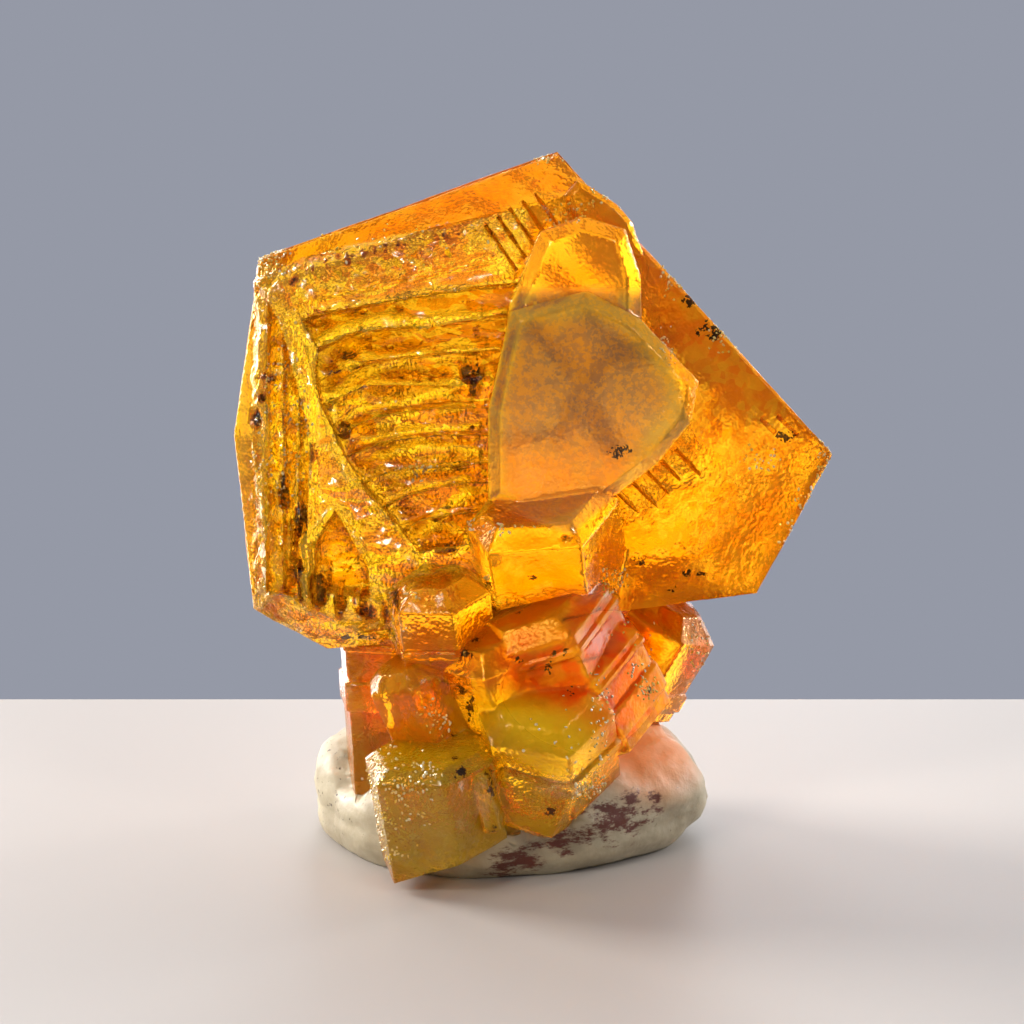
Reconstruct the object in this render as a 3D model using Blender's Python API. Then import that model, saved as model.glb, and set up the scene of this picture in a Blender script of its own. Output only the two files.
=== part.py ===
"""A thumbnail specimen of mimetite, standing in a lump of mineral tack.

Metres, +Z up. Seen from the front, along +Y, with +X to the right. Two pieces: the crystals, which grew
together and are one solid, and the tack that holds them. Every crystal is cut from a block by the planes
that mimetite grows: six prism faces, two basal faces and two rings of six pyramid faces.
"""

import math

import bmesh
import bpy
from mathutils import Matrix, Vector, noise

MM = 0.001

# Driving dimensions, in millimetres and degrees.
PYRAMID_ANGLE = 40.0  # between a basal face and a pyramid face of mimetite
GAP = 0.3  # left between the crystals and the tack
BLOCK = 40.0  # half side of the block that a crystal is cut from
MOUTH = 1.0  # how far a cutter of the hopper face stands out of it
STEP_BEVEL = 0.12  # bevel of a growth ledge on a smaller crystal

# The large hopper crystal. Its c axis points at the viewer and a little up. Its outline is given on its
# own basal face: x to the right, y up, z out towards the viewer.
MAIN_AT = (0.0, -2.5, 13.9)
MAIN_PITCH = 82.0
MAIN_THICKNESS = 8.2
MAIN_CORNERS = (
    (-8.1, 4.5), (0.75, 7.65), (8.95, -1.3), (6.75, -5.5), (-6.15, -7.2), (-8.35, -6.0), (-8.9, -0.7)
)
MAIN_FRONT_BEVELS = (0.7, 0.3, 0.35, 0.35, 0.8, 0.5, 0.5)
MAIN_BACK_BEVELS = (1.6, 1.2, 1.9, 1.3, 1.4, 1.5, 1.5)
# Three points of one more face, which widens the upper left bevel towards the right.
RIM_FACET = ((-7.6, 4.35, 0.0), (-0.9, 5.9, 0.0), (0.55, 7.55, -1.25))

# Growth steps round the sides of the large crystal: slabs whose outline is scaled and shifted, between
# two depths, with a bevel.
SIDE_STEPS = (
    (1.012, (0.0, 0.0), 1.5, 3.3, 0.12),
    (1.02, (-0.05, -0.06), 4.3, 5.2, 0.2),
    (1.008, (0.12, 0.1), 5.9, 6.3, 0.1),
)

# Plates that stand out of the middle of the large crystal, on the same axes: outline, how far the face
# stands out, how far the plate goes in, and its bevel.
PLATES = {
    "lower_plate": {
        "corners": ((-0.65, 2.95), (1.6, 3.55), (3.15, 2.75), (4.9, 0.9), (4.7, -0.3), (3.7, -1.5),
                    (1.1, -3.5), (-1.3, -2.6), (-1.3, 0.0)),
        "proud": 1.1,
        "inward": 5.0,
        "bevel": 0.3,
    },
    "upper_plate": {
        "corners": ((0.2, 5.3), (1.5, 5.75), (2.75, 5.35), (3.2, 4.0), (3.25, 2.0), (3.0, 0.0), (-0.9, 0.0),
                    (-0.7, 3.1)),
        "proud": 0.75,
        "inward": 5.0,
        "bevel": 0.35,
    },
    "edge_plate": {
        "corners": ((0.95, 6.4), (1.35, 6.85), (2.5, 6.1), (2.95, 5.6), (3.3, 4.6), (2.6, 4.4), (1.3, 5.4)),
        "proud": 0.12,
        "inward": 3.0,
        "bevel": 0.15,
    },
}

# Growth ledges of the hopper, from the rim inwards: points of each crest on the basal face, then the
# depth of the crest and of the trough behind it. The first family runs along the upper left edge.
UPPER_LEDGES = (
    (((-6.9, 2.7), (-5.4, 3.05), (-2.9, 3.6), (-0.4, 3.8)), 0.12, 0.8),
    (((-6.5, 1.9), (-5.1, 2.45), (-2.8, 2.6), (-0.6, 2.9)), 0.3, 1.45),
    (((-6.45, 0.95), (-4.9, 1.5), (-3.0, 1.75), (-0.8, 1.85)), 0.6, 1.7),
    (((-6.3, 0.2), (-4.9, 0.75), (-2.9, 0.75), (-0.9, 0.95)), 0.85, 2.3),
    (((-5.9, -0.75), (-4.7, -0.2), (-2.6, 0.1), (-0.9, 0.05)), 1.2, 2.4),
    (((-5.6, -1.4), (-4.4, -0.95), (-2.7, -0.75), (-0.9, -0.8)), 1.35, 2.7),
    (((-5.1, -2.2), (-4.1, -1.75), (-2.4, -1.7), (-0.9, -1.55)), 1.6, 2.5),
    (((-4.5, -2.9), (-3.7, -2.55), (-2.3, -2.2), (-0.9, -2.2)), 1.5, 2.4),
    (((-3.9, -3.6), (-3.3, -3.3), (-2.2, -3.1), (-0.9, -3.0)), 1.3, 2.0),
)
UPPER_LAST = ((-3.4, -4.3), (-2.9, -4.1), (-2.0, -4.0), (-0.9, -3.9))
UPPER_LAST_DEPTH = 0.9

# The second family runs down the left edge.
LEFT_LEDGES = (
    (((-7.85, 3.2), (-7.95, -5.4)), 0.1, 0.5),
    (((-7.4, 2.4), (-7.45, -5.4)), 0.25, 0.75),
    (((-6.95, 0.6), (-7.0, -5.55)), 0.4, 0.9),
)
LEFT_LAST = ((-6.6, -0.9), (-6.75, -5.6))
LEFT_LAST_DEPTH = 0.35

# The foot of a wedge between two crests: how much of the way to the next crest it lies, and how deep the
# wedge already is straight below its own crest, as a share of the trough. Neighbouring wedges overlap by
# a little.
WEDGE_FOOT = 0.15
CREST_FACE = 0.3
WEDGE_OVERLAP = 0.015

# Slots and windows: outline on the basal face, and depth. Their walls draw in by a share of their width.
POCKET_TAPER = 0.25
POCKETS = (
    (((-5.9, -2.75), (-6.6, -3.7), (-6.55, -5.5), (-4.7, -5.75), (-4.8, -4.6)), 1.3),
    (((-7.3, -3.1), (-6.85, -3.3), (-6.95, -4.8), (-7.35, -4.6)), 1.5),
    (((-7.6, -2.3), (-7.25, -2.4), (-7.3, -3.0), (-7.6, -2.9)), 1.3),
    (((-6.55, -4.9), (-6.1, -4.8), (-6.15, -5.85), (-6.5, -5.8)), 2.1),
    (((-5.9, -5.1), (-5.65, -5.1), (-5.6, -6.0), (-5.85, -5.95)), 1.9),
    (((-5.2, -5.3), (-4.9, -5.2), (-4.9, -6.1), (-5.15, -6.1)), 1.7),
    (((-2.2, 0.95), (-1.2, 1.1), (-1.2, 0.0), (-1.6, -0.1), (-2.1, 0.5)), 3.0),
    (((-5.95, -0.1), (-5.5, -0.05), (-5.55, -0.6), (-5.9, -0.5)), 2.4),
    (((7.25, 0.0), (8.05, -0.75), (7.95, -0.9), (7.15, -0.15)), 0.5),
    (((6.75, -0.1), (7.35, -0.65), (7.25, -0.8), (6.7, -0.25)), 0.4),
    (((4.3, -4.9), (5.4, -4.75), (5.35, -5.0), (4.3, -5.1)), 0.4),
)

# Fan of narrow grooves under the top corner, and the comb of striations on the lower right sector. Every
# third groove is the longest, and each gets shallower towards its end.
FAN = {
    "count": 5,
    "start": (-1.35, 5.45),
    "step": (0.36, 0.24),
    "run": (0.85, -1.25),
    "width": 0.14,
    "depth": 0.45,
}
COMB = {
    "count": 7,
    "start": (1.75, -3.15),
    "step": (0.42, 0.33),
    "run": (0.75, -0.75),
    "width": 0.17,
    "depth": 0.5,
}
GROOVE_SHORTER = 0.12
GROOVE_END_DEPTH = 0.6
GROOVE_OVERRUN = 0.05

# The right half of the hopper face has healed: two sectors that slope away from a low ridge, from
# SECTOR_LEFT on. A sector is how far its plane falls per millimetre along each direction.
SECTOR_THROUGH = (6.0, -1.7, -0.12)
SECTOR_FALLS = ((0.035, 0.03), (0.02, -0.14))
SECTOR_LEFT = 1.0
SECTOR_REACH = 14.0

# The smaller crystals: where the middle is, how the c axis tips towards the viewer and leans to the
# right, the turn about it (at 0 an edge faces the viewer, at 30 a prism face does), the six prism
# distances, the reach of the axis up and down, and the bevel at each end. A chip is one more face, broken
# off: which way it faces, in the part's own frame, and how far from the middle it lies. A step is a
# growth ledge: a slab between two places along the axis that stands out of the prism by a little.
CRYSTALS = {
    "upper_block": {
        "at": (0.4, -3.2, 10.3),
        "pitch": 30.0,
        "lean": -8.0,
        "turn": 24.0,
        "sides": (2.1, 1.7, 1.7, 2.2, 1.75, 1.9),
        "ends": (1.45, 3.9),
        "bevels": (0.45, 0.5),
    },
    "left_block": {
        "at": (-2.65, -3.75, 7.7),
        "pitch": 14.0,
        "lean": -6.0,
        "turn": 16.0,
        "sides": (1.35, 1.35, 1.4, 1.45, 1.4, 1.35),
        "ends": (1.6, 1.6),
        "bevels": (0.5, 0.8),
        "steps": ((-0.5, -0.1, 0.07),),
    },
    "middle_mass": {
        "at": (1.0, -3.2, 7.0),
        "pitch": 18.0,
        "lean": -20.0,
        "turn": 24.0,
        "sides": (1.7, 2.2, 2.2, 2.5, 2.1, 1.6),
        "ends": (1.9, 2.6),
        "bevels": (0.5, 0.6),
        "steps": ((-1.5, -0.2, 0.14), (0.7, 1.1, 0.1)),
    },
    "middle_left": {
        "at": (-0.9, -3.7, 6.3),
        "pitch": 24.0,
        "lean": -16.0,
        "turn": 50.0,
        "sides": (1.8, 1.7, 1.7, 1.7, 1.6, 1.7),
        "ends": (1.7, 2.0),
        "bevels": (0.5, 0.6),
    },
    "middle_right": {
        "at": (1.65, -2.7, 5.6),
        "pitch": 20.0,
        "lean": -24.0,
        "turn": 14.0,
        "sides": (1.9, 1.9, 2.1, 2.2, 2.0, 1.9),
        "ends": (1.9, 2.1),
        "bevels": (0.5, 0.7),
        "steps": ((-0.9, 0.2, 0.12), (0.9, 1.25, 0.1)),
    },
    "right_back": {
        "at": (3.5, 0.4, 5.65),
        "pitch": 6.0,
        "lean": 28.0,
        "turn": 22.0,
        "sides": (1.55, 1.6, 1.7, 1.9, 1.6, 1.5),
        "ends": (2.0, 2.4),
        "bevels": (0.6, 0.9),
        "steps": ((-1.2, -0.4, 0.1),),
    },
    "left_post": {
        "at": (-4.4, -1.7, 5.3),
        "pitch": 2.0,
        "lean": -3.0,
        "turn": 10.0,
        "sides": (1.35, 1.35, 1.3, 1.3, 1.3, 1.35),
        "ends": (3.0, 3.6),
        "bevels": (0.4, 0.4),
        "steps": ((-0.6, 0.5, 0.1), (1.3, 1.7, 0.07)),
    },
    "left_middle": {
        "at": (-3.05, -4.05, 5.0),
        "pitch": 14.0,
        "lean": -22.0,
        "turn": 2.0,
        "sides": (0.95, 1.0, 1.2, 1.3, 1.0, 0.95),
        "ends": (1.9, 2.6),
        "bevels": (0.4, 0.5),
    },
    "front_left": {
        "at": (-2.8, -5.0, 2.6),
        "pitch": 12.0,
        "lean": -8.0,
        "turn": 12.0,
        "sides": (1.75, 1.65, 1.75, 1.8, 1.65, 1.7),
        "ends": (1.75, 2.2),
        "bevels": (0.3, 0.25),
        "chips": (((0.36, -0.1, -0.93), 1.75),),
    },
    "front_right": {
        "at": (0.4, -4.45, 4.9),
        "pitch": 38.0,
        "lean": -6.0,
        "turn": 14.0,
        "sides": (1.85, 1.8, 1.8, 1.9, 1.8, 1.85),
        "ends": (1.35, 2.9),
        "bevels": (0.5, 0.6),
        "steps": ((-0.9, -0.35, 0.1),),
    },
    "front_foot": {
        "at": (0.05, -4.0, 3.0),
        "pitch": 14.0,
        "lean": 22.0,
        "turn": 34.0,
        "sides": (1.7, 1.6, 1.5, 1.8, 1.6, 1.6),
        "ends": (1.2, 1.2),
        "bevels": (0.4, 0.4),
    },
    "front_column": {
        "at": (-1.35, -6.0, 2.9),
        "pitch": 8.0,
        "lean": -14.0,
        "turn": 30.0,
        "sides": (0.32, 0.3, 0.32, 0.34, 0.3, 0.3),
        "ends": (1.0, 0.95),
        "bevels": (0.1, 0.1),
    },
    "core": {
        "at": (-0.6, 0.3, 5.9),
        "pitch": 4.0,
        "lean": 3.0,
        "turn": 10.0,
        "sides": (3.4, 2.7, 2.8, 3.2, 2.6, 3.0),
        "ends": (3.8, 4.2),
        "bevels": (0.7, 0.6),
    },
    "back_post": {
        "at": (1.7, 2.3, 5.2),
        "pitch": -8.0,
        "lean": 8.0,
        "turn": 40.0,
        "sides": (1.9, 1.8, 1.9, 2.1, 1.8, 1.9),
        "ends": (3.6, 3.2),
        "bevels": (0.6, 0.5),
        "steps": ((-0.9, 0.3, 0.14), (1.4, 2.0, 0.1)),
    },
    "back_left": {
        "at": (-3.0, 1.8, 5.0),
        "pitch": -14.0,
        "lean": -8.0,
        "turn": 25.0,
        "sides": (1.5, 1.5, 1.6, 1.5, 1.5, 1.6),
        "ends": (2.9, 2.8),
        "bevels": (0.6, 0.5),
        "steps": ((-0.4, 0.8, 0.12),),
    },
    "back_foot": {
        "at": (-0.6, 4.1, 4.0),
        "pitch": -24.0,
        "lean": 4.0,
        "turn": 30.0,
        "sides": (1.4, 1.3, 1.2, 1.4, 1.3, 1.3),
        "ends": (1.9, 2.2),
        "bevels": (0.5, 0.3),
    },
    "back_small": {
        "at": (-4.4, 5.6, 10.2),
        "pitch": -70.0,
        "lean": -20.0,
        "turn": 20.0,
        "sides": (1.2, 1.1, 1.3, 1.1, 1.2, 1.0),
        "ends": (1.2, 2.4),
        "bevels": (0.35, 0.3),
    },
    "back_twin": {
        "at": (3.6, 4.4, 13.0),
        "pitch": -96.0,
        "lean": 8.0,
        "turn": 15.0,
        "sides": (2.2, 2.0, 2.1, 2.3, 2.0, 2.1),
        "ends": (2.2, 3.0),
        "bevels": (0.7, 0.4),
    },
}
IN_TACK = ("left_post", "left_middle", "front_left", "front_right", "front_foot", "front_column", "core",
           "middle_right", "middle_left", "right_back", "back_post", "back_left", "back_foot")

# Steps on the back basal face: outline scale, shift on the face, and how far the step stands out.
BACK_STEPS = ((0.62, (-0.6, 0.4), 0.45), (0.36, (-1.3, 1.0), 0.85))
BACK_STEP_BEVEL = 0.25

# The tack: half sizes of the blob, where its middle stands, how square its sides are (2 is an ellipse),
# and its lumps: height and closeness as shares of its radius, and where their pattern starts.
TACK_HALF = (5.95, 5.3, 2.45)
TACK_AT = (-0.7, 0.3, 1.4)
TACK_SQUARE = 2.8
TACK_LUMPS = ((0.15, 1.32, (0.0, 1.3, 8.1)), (0.042, 3.3, (3.7, 1.3, 8.1)))
TACK_RINGS = 26
TACK_SEGMENTS = 44


def sides_of(corners):
    """Angle of the outward normal of each edge of a convex outline, given clockwise, and its distance."""
    found = []
    for start, end in zip(corners, corners[1:] + corners[:1]):
        normal = Vector((start[1] - end[1], end[0] - start[0])).normalized()
        found.append((math.atan2(normal.y, normal.x), start[0] * normal.x + start[1] * normal.y))
    return found


def prism_planes(sides, top, bottom, top_bevels, bottom_bevels, grow=0.0):
    """(normal, distance) of every face of a prism with a bevel round each end. grow moves all of them out."""
    tilt = math.radians(PYRAMID_ANGLE)
    planes = [(Vector((0, 0, 1)), top + grow), (Vector((0, 0, -1)), bottom + grow)]
    for (angle, distance), top_bevel, bottom_bevel in zip(sides, top_bevels, bottom_bevels):
        out = Vector((math.cos(angle), math.sin(angle), 0))
        planes.append((out, distance + grow))
        for end, sign, bevel in ((top, 1, top_bevel), (bottom, -1, bottom_bevel)):
            normal = out * math.sin(tilt) + Vector((0, 0, sign * math.cos(tilt)))
            reach = distance * math.sin(tilt) + (end - bevel) * math.cos(tilt)
            planes.append((normal, reach + grow))
    return planes


def cut_block(name, planes):
    """A block of crystal cut back to each of the planes, in millimetres, as a mesh in metres."""
    shape = bmesh.new()
    bmesh.ops.create_cube(shape, size=2 * BLOCK)
    for normal, distance in planes:
        everything = shape.verts[:] + shape.edges[:] + shape.faces[:]
        cut = bmesh.ops.bisect_plane(
            shape, geom=everything, dist=1e-5, plane_co=normal * distance, plane_no=normal, clear_outer=True
        )
        rim = [item for item in cut["geom_cut"] if isinstance(item, bmesh.types.BMEdge)]
        if rim:
            bmesh.ops.edgeloop_fill(shape, edges=rim)
    return finish_mesh(name, shape)


def hull_mesh(name, points):
    """The convex solid through points given in millimetres."""
    shape = bmesh.new()
    for point in points:
        shape.verts.new(point)
    made = bmesh.ops.convex_hull(shape, input=shape.verts[:])
    loose = [item for item in made["geom_interior"] if isinstance(item, bmesh.types.BMVert)]
    bmesh.ops.delete(shape, geom=loose, context="VERTS")
    return finish_mesh(name, shape)


def finish_mesh(name, shape):
    bmesh.ops.recalc_face_normals(shape, faces=shape.faces[:])
    bmesh.ops.scale(shape, vec=(MM, MM, MM), verts=shape.verts[:])
    mesh = bpy.data.meshes.new(name)
    shape.to_mesh(mesh)
    shape.free()
    return mesh


def place(name, mesh, at, turn=None, group=None):
    """An object for the mesh. One in a group is a helper that only cuts or joins."""
    item = bpy.data.objects.new(name, mesh)
    item.location = Vector(at) * MM
    if turn is not None:
        item.rotation_euler = turn.to_euler()
    (group or bpy.context.scene.collection).objects.link(item)
    if group is not None:
        item.hide_render = True
        item.display_type = "WIRE"
    return item


def helper_group(name):
    group = bpy.data.collections.new(name)
    bpy.context.scene.collection.children.link(group)
    return group


def boolean(item, group, operation):
    step = item.modifiers.new(group.name, "BOOLEAN")
    step.operation = operation
    step.operand_type = "COLLECTION"
    step.collection = group
    step.solver = "EXACT"


def tipped(pitch, lean, turn):
    """A turn about an upright c axis, which then tips towards the viewer and leans to the right."""
    return (
        Matrix.Rotation(math.radians(lean), 3, "Y")
        @ Matrix.Rotation(math.radians(pitch), 3, "X")
        @ Matrix.Rotation(math.radians(turn), 3, "Z")
    )


def material(name, colour, roughness, transmission=0.0, ior=1.5):
    made = bpy.data.materials.new(name)
    made.use_nodes = True
    shader = made.node_tree.nodes["Principled BSDF"]
    shader.inputs["Base Color"].default_value = (*colour, 1.0)
    shader.inputs["Roughness"].default_value = roughness
    shader.inputs["Metallic"].default_value = 0.0
    shader.inputs["Transmission Weight"].default_value = transmission
    shader.inputs["IOR"].default_value = ior
    return made


def main_frame():
    return tipped(MAIN_PITCH, 0.0, 0.0)


def main_crystal():
    planes = prism_planes(sides_of(MAIN_CORNERS), 0.0, MAIN_THICKNESS, MAIN_FRONT_BEVELS, MAIN_BACK_BEVELS)
    first, second, third = (Vector(corner) for corner in RIM_FACET)
    normal = (second - first).cross(third - first).normalized()
    planes.append((normal, first.dot(normal)))
    return place("crystal_cluster", cut_block("crystal_cluster", planes), MAIN_AT, main_frame())


def ledge_cutters(name, ledges, last, last_depth, group):
    """A wedge between each crest and the next: it drops steeply behind one and rises to the other."""
    rows = [(points, crest, trough) for points, crest, trough in ledges] + [(last, last_depth, last_depth)]
    for row, (above, below) in enumerate(zip(rows, rows[1:])):
        points, _, trough = above
        next_points, next_crest, _ = below
        for part in range(len(points) - 1):
            corners = []
            for upper, lower in zip(points[part : part + 2], next_points[part : part + 2]):
                foot = Vector(upper).lerp(Vector(lower), WEDGE_FOOT)
                corners += [(*upper, MOUTH), (*foot, -trough), (*lower, -next_crest), (*lower, MOUTH)]
                corners.append((*upper, -CREST_FACE * trough))
            middle = Vector([sum(values) / len(corners) for values in zip(*corners)])
            corners = [middle.lerp(Vector(corner), 1 + WEDGE_OVERLAP) for corner in corners]
            place(f"{name}_{row}_{part}", hull_mesh(name, corners), MAIN_AT, main_frame(), group)


def pocket_cutters(group):
    for number, (outline, depth) in enumerate(POCKETS):
        middle = Vector([sum(values) / len(outline) for values in zip(*outline)])
        floor = [(*Vector(corner).lerp(middle, POCKET_TAPER), -depth) for corner in outline]
        mouth = [(*corner, MOUTH) for corner in outline]
        place(f"pocket_{number}", hull_mesh("pocket", mouth + floor), MAIN_AT, main_frame(), group)


def groove_cutters(name, row, group):
    """A row of equal V grooves, each stepped along from the last."""
    run = Vector(row["run"])
    across = Vector((-run.y, run.x)).normalized() * row["width"] / 2
    for number in range(row["count"]):
        start = Vector(row["start"]) + number * Vector(row["step"])
        end = start + run * (1 - GROOVE_SHORTER * (number % 3))
        corners = [(*start, -row["depth"]), (*end, -row["depth"] * GROOVE_END_DEPTH)]
        for point in (start - run * GROOVE_OVERRUN, end + run * GROOVE_OVERRUN):
            for side in (across, -across):
                corners += [(*(point + side), MOUTH), (*(point + side), 0.0)]
        place(f"{name}_{number}", hull_mesh(name, corners), MAIN_AT, main_frame(), group)


def sector_cutters(group):
    """Each takes off what stands above a plane that slopes away from the ridge on the right half."""
    x0, y0, z0 = SECTOR_THROUGH
    for number, (fall_x, fall_y) in enumerate(SECTOR_FALLS):
        corners = []
        for x in (SECTOR_LEFT, x0 + SECTOR_REACH):
            for y in (y0 - SECTOR_REACH, y0 + SECTOR_REACH):
                depth = z0 - fall_x * (x - x0) - fall_y * (y - y0)
                corners += [(x, y, depth), (x, y, 3 * MOUTH)]
        place(f"sector_{number}", hull_mesh("sector", corners), MAIN_AT, main_frame(), group)


def side_steps(group):
    """Slabs a little wider than the large crystal, which leave ledges round its prism faces."""
    for number, (scale, (shift_x, shift_y), near, far, bevel) in enumerate(SIDE_STEPS):
        corners = tuple((x * scale + shift_x, y * scale + shift_y) for x, y in MAIN_CORNERS)
        bevels = [bevel] * len(corners)
        planes = prism_planes(sides_of(corners), -near, far, bevels, bevels)
        place(f"side_step_{number}", cut_block("side_step", planes), MAIN_AT, main_frame(), group)


def back_steps(group):
    """Raised growth plates on the back basal face."""
    for number, (scale, (shift_x, shift_y), proud) in enumerate(BACK_STEPS):
        corners = tuple((x * scale + shift_x, y * scale + shift_y) for x, y in MAIN_CORNERS)
        bevels = [BACK_STEP_BEVEL] * len(corners)
        planes = prism_planes(sides_of(corners), -MAIN_THICKNESS / 2, MAIN_THICKNESS + proud, bevels, bevels)
        place(f"back_step_{number}", cut_block("back_step", planes), MAIN_AT, main_frame(), group)


def middle_plates(group):
    for name, plate in PLATES.items():
        bevels = [plate["bevel"]] * len(plate["corners"])
        planes = prism_planes(sides_of(plate["corners"]), plate["proud"], plate["inward"], bevels, bevels)
        place(name, cut_block(name, planes), MAIN_AT, main_frame(), group)


def small_crystal(name, spec, group, grow=0.0):
    sides = [(math.radians(60 * number), distance) for number, distance in enumerate(spec["sides"])]
    top, bottom = spec["ends"]
    top_bevel, bottom_bevel = spec["bevels"]
    planes = prism_planes(sides, top, bottom, [top_bevel] * 6, [bottom_bevel] * 6, grow)
    turn = tipped(spec["pitch"], spec["lean"], spec["turn"])
    for normal, distance in spec.get("chips", ()):
        planes.append((turn.transposed() @ Vector(normal).normalized(), distance + grow))
    for low, high, wider in spec.get("steps", ()) if grow == 0.0 else ():
        wide = [(angle, distance + wider) for angle, distance in sides]
        step = prism_planes(wide, high, -low, [STEP_BEVEL] * 6, [STEP_BEVEL] * 6)
        place(f"{name}_step", cut_block(f"{name}_step", step), spec["at"], turn, group)
    return place(name, cut_block(name, planes), spec["at"], turn, group)


def crystal_cluster():
    cluster = main_crystal()
    cutters = helper_group("hopper_cutters")
    ledge_cutters("upper_ledge", UPPER_LEDGES, UPPER_LAST, UPPER_LAST_DEPTH, cutters)
    ledge_cutters("left_ledge", LEFT_LEDGES, LEFT_LAST, LEFT_LAST_DEPTH, cutters)
    pocket_cutters(cutters)
    groove_cutters("fan", FAN, cutters)
    groove_cutters("comb", COMB, cutters)
    sector_cutters(cutters)
    boolean(cluster, cutters, "DIFFERENCE")
    grown = helper_group("grown_together")
    middle_plates(grown)
    side_steps(grown)
    back_steps(grown)
    for name, spec in CRYSTALS.items():
        small_crystal(name, spec, grown)
    boolean(cluster, grown, "UNION")
    cluster.data.materials.append(material("mimetite", (0.86, 0.33, 0.02), 0.12, 0.85, 2.1))
    return cluster


def lumpy(direction):
    """How far the tack stands out of a plain blob in this direction, as a share of its radius."""
    return sum(height * noise.noise(direction * near + Vector(start)) for height, near, start in TACK_LUMPS)


def putty_base():
    shape = bmesh.new()
    bmesh.ops.create_uvsphere(shape, u_segments=TACK_SEGMENTS, v_segments=TACK_RINGS, radius=1.0)
    for vert in shape.verts:
        way = vert.co.normalized()
        flat = math.hypot(way.x, way.y) ** TACK_SQUARE + abs(way.z) ** TACK_SQUARE
        reach = flat ** (-1 / TACK_SQUARE) + lumpy(way)
        vert.co = Vector([half * part * reach for half, part in zip(TACK_HALF, way)])
        vert.co += Vector(TACK_AT)
    everything = shape.verts[:] + shape.edges[:] + shape.faces[:]
    cut = bmesh.ops.bisect_plane(shape, geom=everything, dist=1e-5, plane_no=(0, 0, -1), clear_outer=True)
    rim = [item for item in cut["geom_cut"] if isinstance(item, bmesh.types.BMEdge)]
    bmesh.ops.edgeloop_fill(shape, edges=rim)
    tack = place("putty_base", finish_mesh("putty_base", shape), (0, 0, 0))
    seats = helper_group("crystal_seats")
    for name in IN_TACK:
        small_crystal(f"seat_{name}", CRYSTALS[name], seats, GAP)
    boolean(tack, seats, "DIFFERENCE")
    tack.data.materials.append(material("mineral_tack", (0.62, 0.58, 0.5), 0.7))
    return tack


def stand_on_origin(pieces):
    """Hangs every object on one empty, which brings the middle of the pieces' base to the origin."""
    bpy.context.view_layer.update()
    graph = bpy.context.evaluated_depsgraph_get()
    points = []
    for piece in pieces:
        solid = piece.evaluated_get(graph)
        points += [solid.matrix_world @ vert.co for vert in solid.data.vertices]
    low, high = ([pick(values) for values in zip(*points)] for pick in (min, max))
    specimen = bpy.data.objects.new("specimen", None)
    bpy.context.scene.collection.objects.link(specimen)
    for item in bpy.data.objects:
        if item is not specimen:
            item.parent = specimen
    specimen.location = (-(low[0] + high[0]) / 2, -(low[1] + high[1]) / 2, -low[2])


def build():
    for item in list(bpy.data.objects):
        bpy.data.objects.remove(item, do_unlink=True)
    stand_on_origin([crystal_cluster(), putty_base()])


build()
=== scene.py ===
import math
import time
from functools import partial

import bmesh
import bpy
import numpy as np
from mathutils import Matrix, Vector, noise
from mathutils.bvhtree import BVHTree

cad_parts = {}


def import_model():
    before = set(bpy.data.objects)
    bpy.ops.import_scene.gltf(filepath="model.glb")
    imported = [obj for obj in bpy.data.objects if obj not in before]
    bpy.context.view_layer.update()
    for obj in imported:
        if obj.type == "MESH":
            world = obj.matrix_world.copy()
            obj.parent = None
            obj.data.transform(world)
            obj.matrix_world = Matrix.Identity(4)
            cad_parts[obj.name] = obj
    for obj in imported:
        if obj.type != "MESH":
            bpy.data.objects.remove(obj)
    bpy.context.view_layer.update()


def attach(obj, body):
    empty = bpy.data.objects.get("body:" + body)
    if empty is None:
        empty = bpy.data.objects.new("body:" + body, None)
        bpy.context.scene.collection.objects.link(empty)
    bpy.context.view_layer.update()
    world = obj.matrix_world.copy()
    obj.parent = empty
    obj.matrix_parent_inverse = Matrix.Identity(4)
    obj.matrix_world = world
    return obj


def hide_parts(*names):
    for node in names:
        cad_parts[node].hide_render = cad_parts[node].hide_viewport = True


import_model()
began = time.time()

mm = 0.001
view = {"target": (-0.607, 0.074, 10.3), "tilt": 12, "distance": 90, "lens": 102.83}  # mm and degrees


def say(words):
    print(words, "after", round(time.time() - began, 1), "s")


# sRGB hex to linear
def linearColour(code):
    parts = [int(code[place:place + 2], 16) / 255 for place in (1, 3, 5)]
    return [part / 12.92 if part <= 0.04045 else ((part + 0.055) / 1.055) ** 2.4 for part in parts] + [1.0]


# gives a node its own settings, and its inputs a number, a hex colour or another node's output
def setUp(tree, node, values):
    for name, value in values.items():
        if isinstance(value, bpy.types.NodeSocket):
            tree.links.new(value, node.inputs[name])
        elif isinstance(name, int) or name in node.inputs:
            isColour = isinstance(value, str) and value.startswith("#")
            node.inputs[name].default_value = linearColour(value) if isColour else value
        else:
            setattr(node, name, value)


# adds a node and gives back one of its outputs
def addNode(tree, kind, values=None, output=0):
    node = tree.nodes.new(kind)
    setUp(tree, node, values or {})
    return node.outputs[output] if len(node.outputs) else None


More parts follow.
